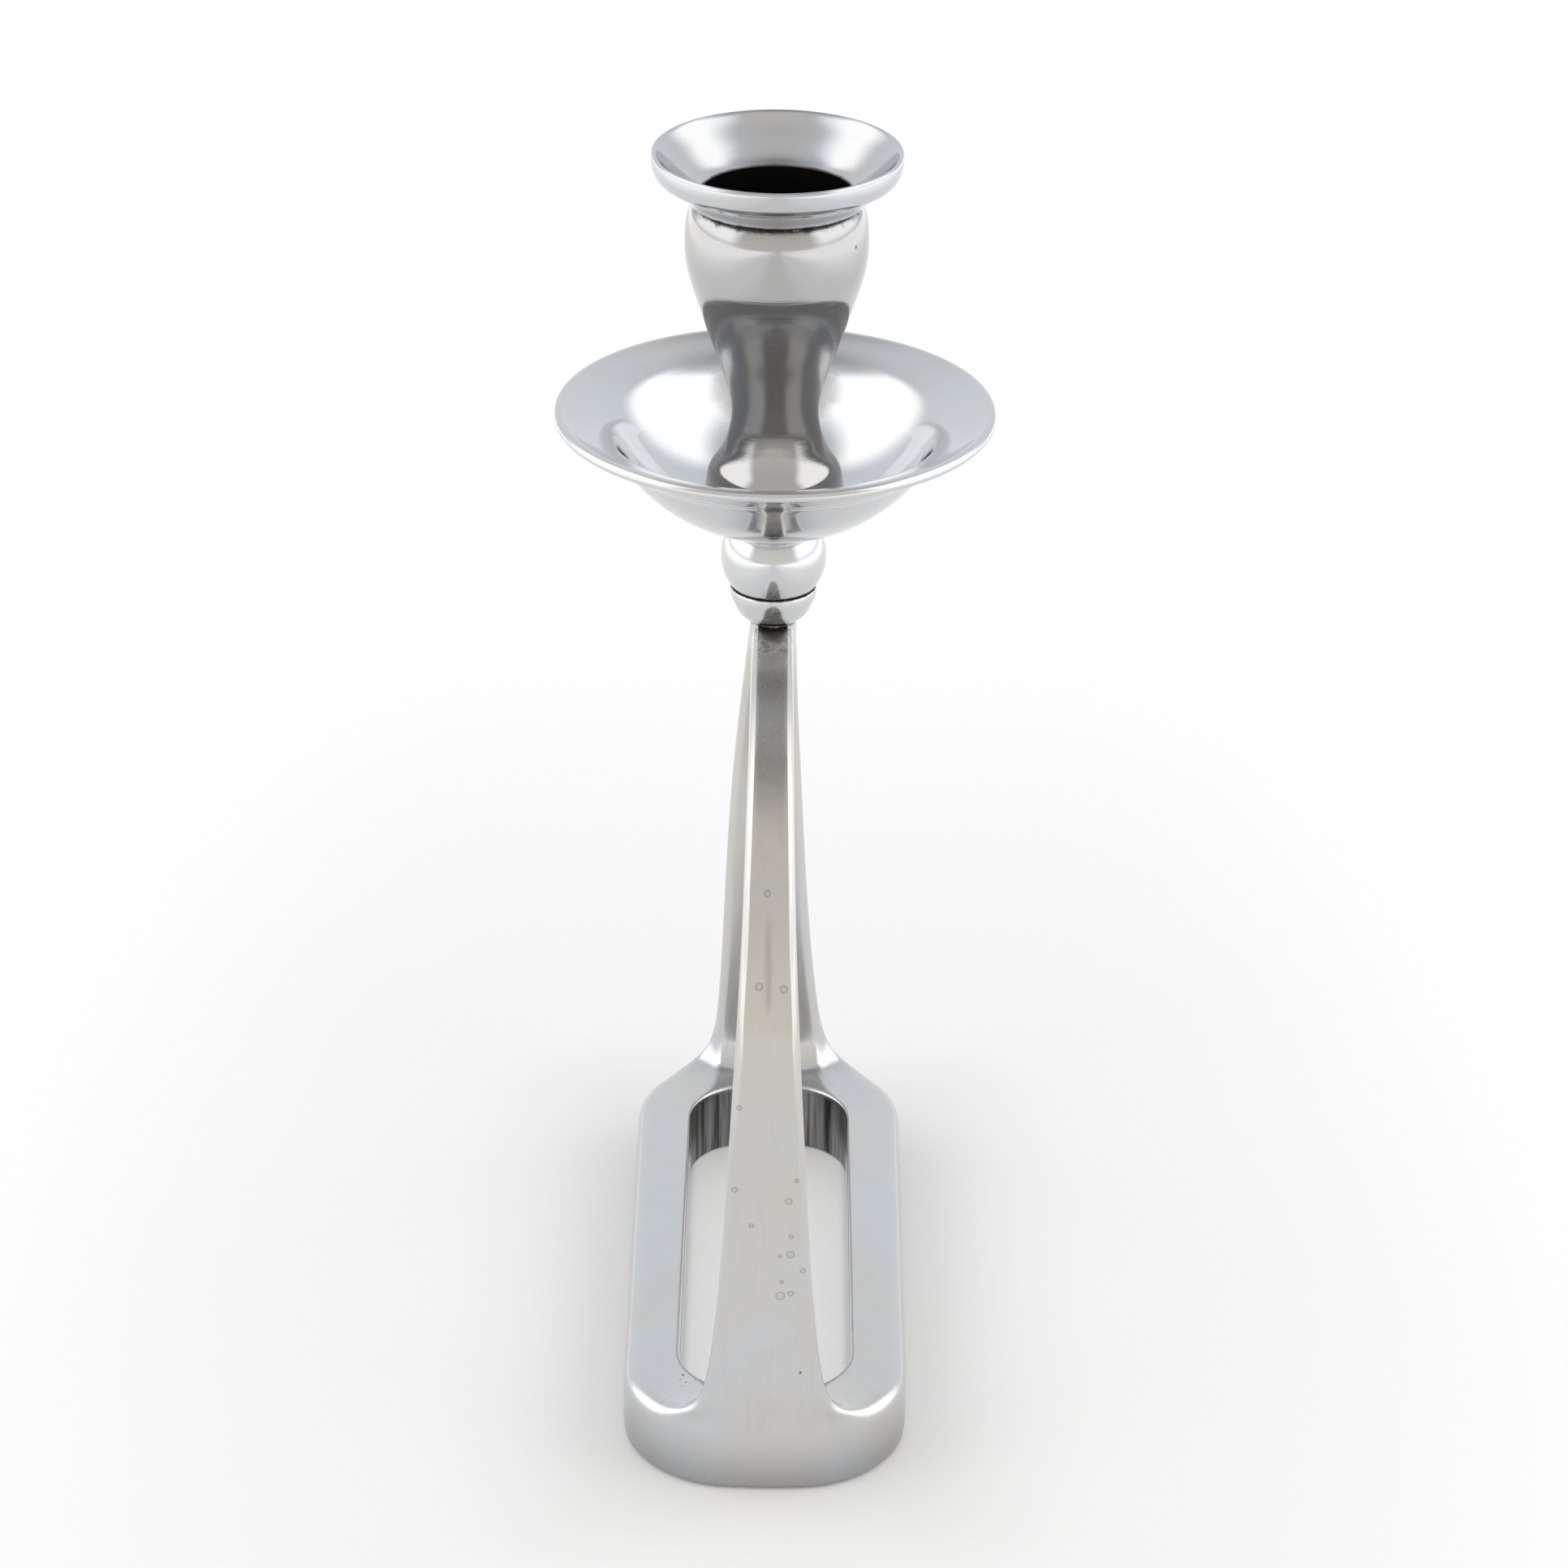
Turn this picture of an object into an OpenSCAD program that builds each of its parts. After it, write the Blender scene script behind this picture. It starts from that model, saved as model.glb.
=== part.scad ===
// Polished silver candlestick: an open oval foot, two flat legs that bend over into one arch,
// a ball knop in a small collar, a wide drip pan and a vase-shaped candle cup with a flared mouth.
// Millimetres, +Z up. The origin is on the floor, under the candle. The foot is long along Y.

/* [Foot] */
// Length of the open foot, front to back
foot_length = 117; // [112:0.5:122]
// Width of the open foot
foot_width = 44.8; // [42:0.2:48]
// Width of the foot's two side rails
foot_band = 9.1; // [8:0.1:10]
// Width of the foot at its two ends, under the legs
foot_end_band = 10.6; // [10:0.1:12]
// Height of the foot
foot_height = 12; // [11:0.2:13]
// Corner radius of the foot's outer outline
foot_corner = 18; // [16:0.5:19]
// Corner radius of the opening in the foot
opening_corner = 10.5; // [9:0.5:12]

/* [Arch] */
// Height of the arch's crown over the floor
arch_height = 123.4; // [120:0.2:127]
// Thickness of a leg
leg_thickness = 4.7; // [4:0.1:5.5]
// Width of a leg just above its root
leg_root_width = 18.4; // [17.6:0.2:20]
// Width of a leg at the crown
leg_crown_width = 6.4; // [5.6:0.1:7]
// How much wider the rear leg is on each side, half-way up
rear_extra = 0.55; // [0:0.05:0.8]
// How far the rear leg bows to the left, half-way up
rear_lean = 1; // [0:0.1:1.4]

/* [Knop] */
// Diameter of the ball
ball_d = 16.4; // [15.8:0.1:17]
// Diameter of the collar's rim
collar_d = 13.6; // [13.2:0.1:14]

/* [Drip pan] */
// Diameter of the drip pan
pan_d = 67.9; // [64:0.1:72]
// Thickness of the pan's sheet
pan_sheet = 1.2; // [1:0.1:1.4]

/* [Candle cup] */
// Diameter of the socket for the candle
socket_d = 23; // [22.4:0.1:23.2]
// Diameter of the cup's belly
belly_d = 28; // [27.4:0.1:28.6]
// Diameter of the cup's waist
waist_d = 13.3; // [12.8:0.1:14]
// Diameter of the flared mouth
mouth_d = 38.1; // [36:0.1:40]

/* [Bolt] */
// Diameter of the long bolt that holds the stack together
bolt_d = 4; // [3.5:0.1:4.2]

/* [Hidden] */

silver = "silver";
steel = "slategray";
turn_facets = 96;
bolt_r = bolt_d / 2;
bolt_hole_r = bolt_r + 0.1;
overshoot = 1;

// Foot: a plate with an opening, and a rounded edge swept round its outline
corner_x = foot_width / 2 - foot_corner;
corner_y = foot_length / 2 - foot_corner;
edge_band = 6;
edge_inner_r = foot_corner - edge_band;
edge_top = 1.6;
edge_bottom = 0.5;

// Arch: upright legs that turn over in a half circle
arch_r = foot_length / 2;
spring_z = arch_height - arch_r;
arch_inner_r = arch_r - leg_thickness;
heel_fillet = foot_end_band - leg_thickness;
root_fillet = 6.2;
boss_r = 3.6;
boss_below = 0.8;

// Knop: the ball stands in the collar and carries the pan
ball_r = ball_d / 2;
collar_foot_r = boss_r;
collar_rim_z = arch_height + 5.6;
ball_z = arch_height + 10.8;

// Drip pan: a round bowl with a sloping flange and a bead along its rim
bowl_r = 28;
bowl_floor_z = arch_height + 16.3;
bowl_z = bowl_floor_z + bowl_r;
crease_r = 25.2;
bead_r = 0.9;
bead_z = bowl_z - 9.8;
pan_r = pan_d / 2;

// Candle cup, from its foot in the bowl up to the neck
foot_r = 11;
waist_r = waist_d / 2;
belly_r = belly_d / 2;
socket_r = socket_d / 2;
neck_r = socket_r + 0.7;
neck_z = arch_height + 70;
waist_z = arch_height + 34.6;
belly_z = arch_height + 63;
socket_floor_z = arch_height + 56.1;
joint_r = belly_r - 0.95;
well_floor_z = socket_floor_z - 5;
well_r = 5.3;

// Mouth ring
mouth_r = mouth_d / 2;
mouth_z = arch_height + 76.6;

// Long bolt
washer_height = 0.6;

// Points along a circular arc
function arc(c, r, from, to, steps) =
    [for (i = [0:steps]) let (a = from + (to - from) * i / steps) c + r * [cos(a), sin(a)]];

// One point of a Catmull-Rom curve between p1 and p2
function between(p0, p1, p2, p3, t) =
    0.5 * (2 * p1 + (p2 - p0) * t + (2 * p0 - 5 * p1 + 4 * p2 - p3) * t * t
    + (3 * p1 - p0 - 3 * p2 + p3) * t * t * t);

// A smooth curve through all the given points
function curve(p, steps = 5) = let (n = len(p) - 1)
    [for (k = [0:n - 1], i = [0:steps - 1])
        between(p[max(k - 1, 0)], p[k], p[k + 1], p[min(k + 2, n)], i / steps), p[n]];

function mirrored(p) = [for (i = [len(p) - 1:-1:0]) [-p[i].x, p[i].y]];

// Angle on a circle of radius r, below its centre, at the distance x from the axis
function under_angle(r, x) = -acos(x / r);

module turned(profile) {
    rotate_extrude($fn = turn_facets) polygon(profile);
}

// A rounded rectangle with its centre at the origin
module rounded(width, length, corner) {
    for (sx = [-1, 1], sy = [-1, 1])
        translate([sx * (width / 2 - corner), sy * (length / 2 - corner)]) circle(corner, $fn = turn_facets);
    square([width, length - 2 * corner], center = true);
    square([width - 2 * corner, length], center = true);
}

// Outline of the foot, seen from above
module foot_plan() {
    rounded(foot_width, foot_length, foot_corner);
}

// Cross-section of the foot's outer edge, from x = 0 outwards
module edge_section() {
    polygon(concat(
        [[0, 0]],
        arc([edge_band - edge_bottom, edge_bottom], edge_bottom, 270, 360, 3),
        arc([edge_band - edge_top, foot_height - edge_top], edge_top, 0, 90, 5),
        [[0, foot_height]]));
}

module straight_edge(length) {
    rotate([90, 0, 0]) linear_extrude(length, center = true) edge_section();
}

module foot_ring() {
    inset = edge_band / 2;
    color(silver) difference() {
        union() {
            for (turn = [0, 180]) rotate([0, 0, turn]) {
                translate([corner_x + edge_inner_r, 0, 0]) straight_edge(2 * corner_y);
                translate([0, corner_y + edge_inner_r, 0]) rotate([0, 0, 90]) straight_edge(2 * corner_x);
            }
            for (sx = [0, 1], sy = [0, 1]) mirror([sx, 0, 0]) mirror([0, sy, 0])
                translate([corner_x, corner_y, 0]) rotate_extrude(angle = 90, $fn = turn_facets)
                    translate([edge_inner_r, 0]) edge_section();
            linear_extrude(foot_height)
                rounded(foot_width - 2 * inset, foot_length - 2 * inset, foot_corner - inset);
        }
        translate([0, 0, -overshoot]) linear_extrude(foot_height + 2 * overshoot)
            rounded(foot_width - 2 * foot_band, foot_length - 2 * foot_end_band, opening_corner);
    }
}

// A leg from the side: upright, then bent over to the crown, with a fillet at its heel
module leg_side() {
    heel = [arch_r - foot_end_band, foot_height + heel_fillet];
    polygon(concat(
        [[arch_r, foot_height - edge_top], [arch_r, spring_z]],
        arc([0, spring_z], arch_r, 3, 90, 29),
        arc([0, spring_z], arch_inner_r, 90, 0, 30),
        arc(heel, heel_fillet, 0, -90, 6),
        [[arch_r - foot_end_band, foot_height - edge_top]]));
}

// 1 half-way up the upright part of a leg, falling to 0 at the foot and near the crown
function mid_height(z) = max(0, sin(180 * (z - foot_height) / (0.83 * (arch_height - foot_height))));

// A leg from the front: slender at the crown, wider towards the foot, flared at its root.
// Half-way up it is wider by extra on each side, and bows to the left by lean.
module leg_front(extra, lean) {
    root_z = foot_height + root_fillet;
    half_root = leg_root_width / 2;
    half_crown = leg_crown_width / 2;
    side = concat(
        [[half_root + root_fillet + 1.2, foot_height - edge_top]],
        arc([half_root + root_fillet, root_z], root_fillet, 270, 190, 7),
        curve([[half_root - 0.65, 21], [7.9, 27], [6.9, 40], [6, 55], [5.3, 70], [4.45, 84],
            [4, 94], [3.75, 106], [3.45, 115.6], [half_crown, arch_height + 0.5]], 3));
    right = [for (p = side) [p.x + (extra - lean) * mid_height(p.y), p.y]];
    left = [for (p = mirrored(side)) [p.x - (extra + lean) * mid_height(p.y), p.y]];
    polygon(concat(right, left));
}

// The rear leg's half of the arch
module leg(extra, lean) {
    difference() {
        intersection() {
            rotate([90, 0, 90]) linear_extrude(foot_width, center = true) leg_side();
            translate([0, arch_r + overshoot, 0]) rotate([90, 0, 0])
                linear_extrude(arch_r + overshoot) leg_front(extra, lean);
            linear_extrude(arch_height) foot_plan();
        }
        foot_ring();
        cylinder(arch_height + overshoot, boss_r, boss_r, $fn = turn_facets);
    }
}

module front_leg() {
    color(silver) mirror([0, 1, 0]) leg(0, 0);
}

module rear_leg() {
    color(silver) leg(rear_extra, rear_lean);
}

// The boss that both legs are soldered to, drilled and tapped for the bolt
module crown_boss() {
    height = leg_thickness + boss_below;
    color(silver) translate([0, 0, arch_height - height]) difference() {
        cylinder(height, boss_r, boss_r, $fn = turn_facets);
        translate([0, 0, -overshoot]) cylinder(height + 2 * overshoot, bolt_r, bolt_r, $fn = turn_facets);
    }
}

// The small cup that the ball is soldered into
module collar_cup() {
    seat_r = collar_d / 2 - 0.55;
    rim_r = collar_d / 2;
    color(silver) turned(concat(
        [[bolt_hole_r, arch_height]],
        curve([[collar_foot_r, arch_height], [5.2, arch_height + 1.4], [6.3, arch_height + 3.4],
            [rim_r, collar_rim_z]], 4),
        arc([0, ball_z], ball_r, under_angle(ball_r, seat_r), under_angle(ball_r, bolt_hole_r), 8)));
}

// The ball, hollowed on top to the shape of the bowl that rests on it
module ball_knop() {
    color(silver) difference() {
        translate([0, 0, ball_z]) sphere(ball_r, $fn = turn_facets);
        translate([0, 0, bowl_z]) sphere(bowl_r + pan_sheet, $fn = turn_facets);
        translate([0, 0, ball_z - ball_r - overshoot])
            cylinder(2 * ball_r, bolt_hole_r, bolt_hole_r, $fn = turn_facets);
    }
}

module drip_pan() {
    outer_r = bowl_r + pan_sheet;
    bead = [pan_r - bead_r, bead_z];
    color(silver) turned(concat(
        arc([0, bowl_z], outer_r, under_angle(outer_r, bolt_hole_r), under_angle(outer_r, crease_r + 0.8), 20),
        arc(bead, bead_r, -100, 120, 12),
        arc([0, bowl_z], bowl_r, under_angle(bowl_r, crease_r), under_angle(bowl_r, bolt_hole_r), 20)));
}

// The lower half of the vase: its flared foot, its waist, and the well under the candle
module cup_stem() {
    foot_z = bowl_z - sqrt(bowl_r * bowl_r - foot_r * foot_r);
    outside = curve([[foot_r, foot_z], [foot_r - 0.1, foot_z + 2.4], [10.5, foot_z + 5],
        [9.6, waist_z - 8.2], [8.3, waist_z - 6.2], [7.3, waist_z - 3.4], [waist_r, waist_z],
        [7, waist_z + 3], [7.9, waist_z + 6.2], [9.7, waist_z + 11.6], [11.6, waist_z + 17],
        [joint_r, socket_floor_z]], 4);
    color(silver) turned(concat(
        arc([0, bowl_z], bowl_r, under_angle(bowl_r, bolt_hole_r), under_angle(bowl_r, foot_r), 8),
        outside,
        [[well_r, socket_floor_z], [well_r, well_floor_z], [bolt_hole_r, well_floor_z]]));
}

// The upper half of the vase: the belly and the neck round the candle socket
module candle_cup() {
    outside = curve([[joint_r, socket_floor_z], [belly_r - 0.2, belly_z - 3.4], [belly_r, belly_z],
        [belly_r - 0.25, belly_z + 3], [neck_r + 0.55, belly_z + 5.1], [neck_r, belly_z + 5.9]], 4);
    color(silver) turned(concat(
        [[socket_r, socket_floor_z]],
        outside,
        [[neck_r, neck_z], [socket_r, neck_z]]));
}

// The flared mouth, which sits over the neck of the cup
module mouth_ring() {
    seat_z = belly_z + 5.9;
    throat = curve([[mouth_r - 0.35, mouth_z], [mouth_r - 1.75, mouth_z - 1.4], [mouth_r - 3.65, mouth_z - 3.3],
        [13.6, mouth_z - 5.1], [12.3, mouth_z - 6.1], [socket_r, neck_z]], 4);
    outside = curve([[neck_r, seat_z], [13.2, seat_z + 0.1], [14.2, seat_z + 0.9], [mouth_r - 3.45, seat_z + 2.3],
        [mouth_r - 0.65, mouth_z - 3.4], [mouth_r - 0.1, mouth_z - 2.2], [mouth_r, mouth_z - 0.5]], 4);
    color(silver) turned(concat(outside, throat, [[neck_r, neck_z]]));
}

// Long bolt with a slotted cheese head, from the bottom of the socket down to the boss
module tie_bolt() {
    head_r = 3.6;
    head_height = 2.2;
    slot_width = 0.9;
    slot_depth = 1.1;
    head_z = well_floor_z + washer_height;
    tip_z = arch_height - leg_thickness;
    color(steel) difference() {
        union() {
            translate([0, 0, tip_z]) cylinder(head_z - tip_z + 0.5, bolt_r, bolt_r, $fn = turn_facets);
            translate([0, 0, head_z]) cylinder(head_height, head_r, head_r, $fn = turn_facets);
        }
        translate([0, 0, head_z + head_height]) cube([3 * head_r, slot_width, 2 * slot_depth], center = true);
    }
}

module bolt_washer() {
    washer_r = 4.6;
    color(steel) translate([0, 0, well_floor_z]) difference() {
        cylinder(washer_height, washer_r, washer_r, $fn = turn_facets);
        translate([0, 0, -overshoot]) cylinder(3 * overshoot, bolt_hole_r, bolt_hole_r, $fn = turn_facets);
    }
}

foot_ring();
front_leg();
rear_leg();
crown_boss();
collar_cup();
ball_knop();
drip_pan();
cup_stem();
candle_cup();
mouth_ring();
tie_bolt();
bolt_washer();
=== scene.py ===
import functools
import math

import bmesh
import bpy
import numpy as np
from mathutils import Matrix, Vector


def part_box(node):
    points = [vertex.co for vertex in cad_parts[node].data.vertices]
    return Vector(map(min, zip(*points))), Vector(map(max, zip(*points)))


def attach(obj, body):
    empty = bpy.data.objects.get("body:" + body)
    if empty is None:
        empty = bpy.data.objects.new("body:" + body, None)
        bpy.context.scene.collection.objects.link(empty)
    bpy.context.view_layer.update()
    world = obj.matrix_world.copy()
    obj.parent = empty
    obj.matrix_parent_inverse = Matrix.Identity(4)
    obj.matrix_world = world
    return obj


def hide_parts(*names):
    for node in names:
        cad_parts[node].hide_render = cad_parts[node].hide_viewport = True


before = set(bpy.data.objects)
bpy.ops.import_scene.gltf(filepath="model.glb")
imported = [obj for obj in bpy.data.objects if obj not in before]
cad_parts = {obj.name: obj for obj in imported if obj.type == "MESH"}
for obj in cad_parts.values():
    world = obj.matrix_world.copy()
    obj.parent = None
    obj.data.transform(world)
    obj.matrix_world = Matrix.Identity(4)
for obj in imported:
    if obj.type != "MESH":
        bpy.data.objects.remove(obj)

# %% [markdown]
# # A polished silver candlestick
#
# This lesson builds the visible skin of a candlestick around its finished CAD frame.
# The frame fixes every size. Here each piece gets a smoother mesh and a silver finish.
# Polished metal shows its surroundings, so the shape of each surface matters more than its colour:
# a small dent in a curve bends every reflection. That is why nearly all curves below are splines
# or subdivision surfaces, which have no kinks.

MM = 0.001
SCENE = bpy.context.scene
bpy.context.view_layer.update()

# %% [markdown]
# ## The camera
#
# The candlestick is seen from the front, from a little above, with a long lens, as in a catalogue.
# It looks along +Y, 26.5 degrees downwards. It is turned 0.64 degrees about its own axis, so that
# the candlestick seems to lean a hair, as in a view taken by hand.

# %% Camera
CAMERA_DISTANCE = 835.3 * MM
CAMERA_DOWN = math.radians(26.45)
CAMERA_TURN = math.radians(0.64)
LOOK_AT = Vector((2.0, 0, 94.3)) * MM
LENS = 121.1


def add_camera():
    back = Vector((0, -math.cos(CAMERA_DOWN), math.sin(CAMERA_DOWN)))
    bpy.ops.object.camera_add(location=LOOK_AT + back * CAMERA_DISTANCE)
    camera = bpy.context.object
    turn = Matrix.Rotation(math.pi / 2 - CAMERA_DOWN, 4, "X") @ Matrix.Rotation(CAMERA_TURN, 4, "Z")
    camera.rotation_euler = turn.to_euler()
    camera.data.lens = LENS
    camera.data.clip_start, camera.data.clip_end = 0.05, 20
    SCENE.camera = camera
    return camera


camera = add_camera()
print("camera at", [round(v, 4) for v in camera.location])

# %% [markdown]
# ## Small helpers for modelling
#
# An operator works on whatever is selected, so every step starts with nothing selected.
# `polished` is the last step of each piece: it puts the piece's place into its mesh, makes all
# faces point outwards and shades it smooth, except over real corners.

# %% Selecting and finishing
CORNER = math.radians(35)
MERGE = 0.002 * MM


def only(piece):
    """Makes piece the only selected and active object."""
    if bpy.context.object and bpy.context.object.mode != "OBJECT":
        bpy.ops.object.mode_set(mode="OBJECT")
    bpy.ops.object.select_all(action="DESELECT")
    piece.select_set(True)
    bpy.context.view_layer.objects.active = piece


def edit_all(piece):
    only(piece)
    bpy.ops.object.mode_set(mode="EDIT")
    bpy.ops.mesh.select_all(action="SELECT")


def polished(piece, name, corner=CORNER):
    edit_all(piece)
    bpy.ops.mesh.remove_doubles(threshold=MERGE)
    bpy.ops.mesh.normals_make_consistent(inside=False)
    bpy.ops.object.mode_set(mode="OBJECT")
    bpy.ops.object.transform_apply(location=True, rotation=True, scale=True)
    bpy.ops.object.shade_smooth_by_angle(angle=corner)
    piece.name = piece.data.name = name
    print(name, len(piece.data.polygons), "faces")
    return piece


# %% [markdown]
# ## Turned pieces
#
# Mouth ring, cup, pan, ball and collar are all round about one upright axis. On a real bench they
# are spun or turned on a lathe, and here too: the outline of the wall's section is drawn once, as
# a closed wire, and spun through a full turn. The wire starts as a circle primitive, whose points
# are then moved onto the section's outline. The outline itself is a natural cubic spline through a
# few chosen points. Its curvature changes without a jump, and so do the reflections.

# %% Splines and arcs for outlines
def spline(points, count):
    """count points along the natural cubic spline through the points, without the last one."""
    p = np.array(points, float)
    knots = np.concatenate([[0], np.cumsum(np.linalg.norm(np.diff(p, axis=0), axis=1))])
    gap = np.diff(knots)
    n = len(p)
    system, target = np.eye(n), np.zeros((n, p.shape[1]))
    for i in range(1, n - 1):
        system[i, i - 1:i + 2] = gap[i - 1], 2 * (gap[i - 1] + gap[i]), gap[i]
        target[i] = 6 * ((p[i + 1] - p[i]) / gap[i] - (p[i] - p[i - 1]) / gap[i - 1])
    bend = np.linalg.solve(system, target)
    at = np.linspace(0, knots[-1], count, endpoint=False)
    k = np.clip(np.searchsorted(knots, at, side="right") - 1, 0, n - 2)
    a = ((knots[k + 1] - at) / gap[k])[:, None]
    b = ((at - knots[k]) / gap[k])[:, None]
    g = gap[k][:, None]
    curve = a * p[k] + b * p[k + 1] + ((a**3 - a) * bend[k] + (b**3 - b) * bend[k + 1]) * g * g / 6
    return [tuple(q) for q in curve]


def arc(centre, radius, start, end, count):
    """count points of an arc, in degrees, without the last one."""
    turns = [math.radians(start + (end - start) * i / count) for i in range(count)]
    return [(centre[0] + radius * math.cos(t), centre[1] + radius * math.sin(t)) for t in turns]


def under(radius, x):
    """The angle on the lower half of a circle where it is x away from the axis."""
    return -math.degrees(math.acos(x / radius))


def rise(radius, x):
    """How far a circle's point at x away from the axis lies above or below its centre."""
    return math.sqrt(radius**2 - x**2)


# %% The lathe
TURN_STEPS = 224


def turned(name, outline, corner=CORNER):
    """A closed outline of (radius, height) in millimetres, spun round the upright axis."""
    bpy.ops.object.select_all(action="DESELECT")
    bpy.ops.mesh.primitive_circle_add(vertices=len(outline), fill_type="NOTHING")
    piece = bpy.context.object
    for vertex, (radius, height) in zip(piece.data.vertices, outline):
        vertex.co = radius * MM, 0, height * MM
    edit_all(piece)
    bpy.ops.mesh.spin(steps=TURN_STEPS, angle=math.tau, center=(0, 0, 0), axis=(0, 0, 1))
    return polished(piece, name, corner)


# %% [markdown]
# ## Where the pieces stand
#
# All heights come from the frame's boxes, so the visible pieces land on the CAD pieces.

# %% Heights and radii from the frame
def low(node):
    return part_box(node)[0] / MM


def high(node):
    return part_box(node)[1] / MM


CROWN_Z = high("rear_leg").z
MOUTH_Z = high("mouth_ring").z
MOUTH_R = high("mouth_ring").x
NECK_Z = high("candle_cup").z
SOCKET_FLOOR_Z = low("candle_cup").z
BELLY_R = high("candle_cup").x
PAN_R = high("drip_pan").x
BALL_R = high("ball_knop").x
COLLAR_R = high("collar_cup").x
COLLAR_RIM_Z = high("collar_cup").z
FOOT_LENGTH, FOOT_WIDTH = 2 * high("foot_ring").y, 2 * high("foot_ring").x
FOOT_TOP = high("foot_ring").z
print("crown", round(CROWN_Z, 2), "mouth", round(MOUTH_Z, 2), "pan radius", round(PAN_R, 2))

# %% Inner sizes that the turned pieces share
HOLE_R = 2.1
SOCKET_R = 11.5
NECK_R = 12.2
BOWL_R, SHEET = 28.0, 1.2
BOWL_Z = CROWN_Z + 16.3 + BOWL_R
BALL_Z = CROWN_Z + 10.8
WAIST_Z = CROWN_Z + 34.6
BELLY_Z = CROWN_Z + 63
WELL_R = 5.3
WELL_FLOOR_Z = SOCKET_FLOOR_Z - 5
print("waist", round(WAIST_Z, 2), "belly", round(BELLY_Z, 2), "well's floor", round(WELL_FLOOR_Z, 2))

# %% [markdown]
# ## The mouth ring
#
# A spun funnel with a thick, rounded lip. It is soldered onto the neck of the cup, so its
# underside turns in to a short collar. The lip's face is almost upright and its corners are soft.

# %% Mouth ring
def make_mouth_ring():
    seat_z = NECK_Z - 1.1
    top, rim = MOUTH_Z, MOUTH_R
    underside = spline([
        (NECK_R, seat_z), (13.1, seat_z + 0.05), (14.0, seat_z + 0.65), (15.6, seat_z + 2.2),
        (17.2, seat_z + 3.4), (rim - 0.75, top - 3.6), (rim - 0.3, top - 2.9)], 34)
    lip = spline([
        (rim - 0.3, top - 2.9), (rim - 0.06, top - 2.0), (rim, top - 1.2), (rim - 0.03, top - 0.5),
        (rim - 0.16, top - 0.14), (rim - 0.38, top), (rim - 0.62, top - 0.1), (rim - 0.9, top - 0.34)], 36)
    funnel = spline([
        (rim - 0.9, top - 0.34), (17.3, top - 1.3), (15.4, top - 3.2), (13.6, top - 5.0),
        (12.5, top - 5.95), (11.8, top - 6.4), (SOCKET_R, NECK_Z)], 44)
    return turned("mouth_ring_silver", underside + lip + funnel + [(SOCKET_R, NECK_Z), (NECK_R, NECK_Z)])


mouth_ring = make_mouth_ring()

# %% [markdown]
# ## The candle cup
#
# A vase: it stands on a flared foot in the pan, draws in to a narrow waist and swells to a belly
# under the neck. In the CAD model it is split at the socket's floor, so that the socket is a plain
# bore. To the eye it is one long curve, so one mesh replaces both nodes. A well in the floor takes
# the head of the long bolt.

# %% Candle cup
def make_candle_cup():
    foot_r = 11.0
    foot_z = BOWL_Z - rise(BOWL_R, foot_r)
    w = WAIST_Z
    outside = spline([
        (foot_r, foot_z), (foot_r - 0.08, foot_z + 2.2), (10.55, w - 11.4), (10.3, w - 9.8),
        (9.75, w - 8.5), (8.95, w - 7.4), (8.25, w - 6.2), (7.5, w - 4.2), (6.9, w - 2), (6.65, w),
        (6.9, w + 2.5), (7.6, w + 5.2), (8.55, w + 8.3), (9.75, w + 11.6), (11.6, w + 17),
        (13.05, w + 21.5), (BELLY_R - 0.15, BELLY_Z - 3.2), (BELLY_R, BELLY_Z),
        (BELLY_R - 0.28, BELLY_Z + 3.0), (NECK_R + 0.7, BELLY_Z + 5.1), (NECK_R, BELLY_Z + 5.9)], 150)
    bottom = arc((0, BOWL_Z), BOWL_R, under(BOWL_R, HOLE_R), under(BOWL_R, foot_r), 10)
    neck = [(NECK_R, BELLY_Z + 5.9), (NECK_R, NECK_Z), (SOCKET_R, NECK_Z)]
    socket = spline([(SOCKET_R, NECK_Z), (SOCKET_R, NECK_Z - 7), (SOCKET_R, SOCKET_FLOOR_Z)], 16)[1:]
    floor = [(radius, SOCKET_FLOOR_Z) for radius in (SOCKET_R, 9.4, 7.3, WELL_R)]
    well = [(WELL_R, WELL_FLOOR_Z), (HOLE_R, WELL_FLOOR_Z)]
    return turned("candle_cup_silver", bottom + outside + neck + socket + floor + well)


candle_cup = make_candle_cup()

# %% [markdown]
# ## The drip pan
#
# A round bowl of thin sheet. Its flange rises gently outwards from a soft crease and ends in a
# bead that stiffens the rim.

# %% Drip pan
PAN_CORNER = math.radians(50)


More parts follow.
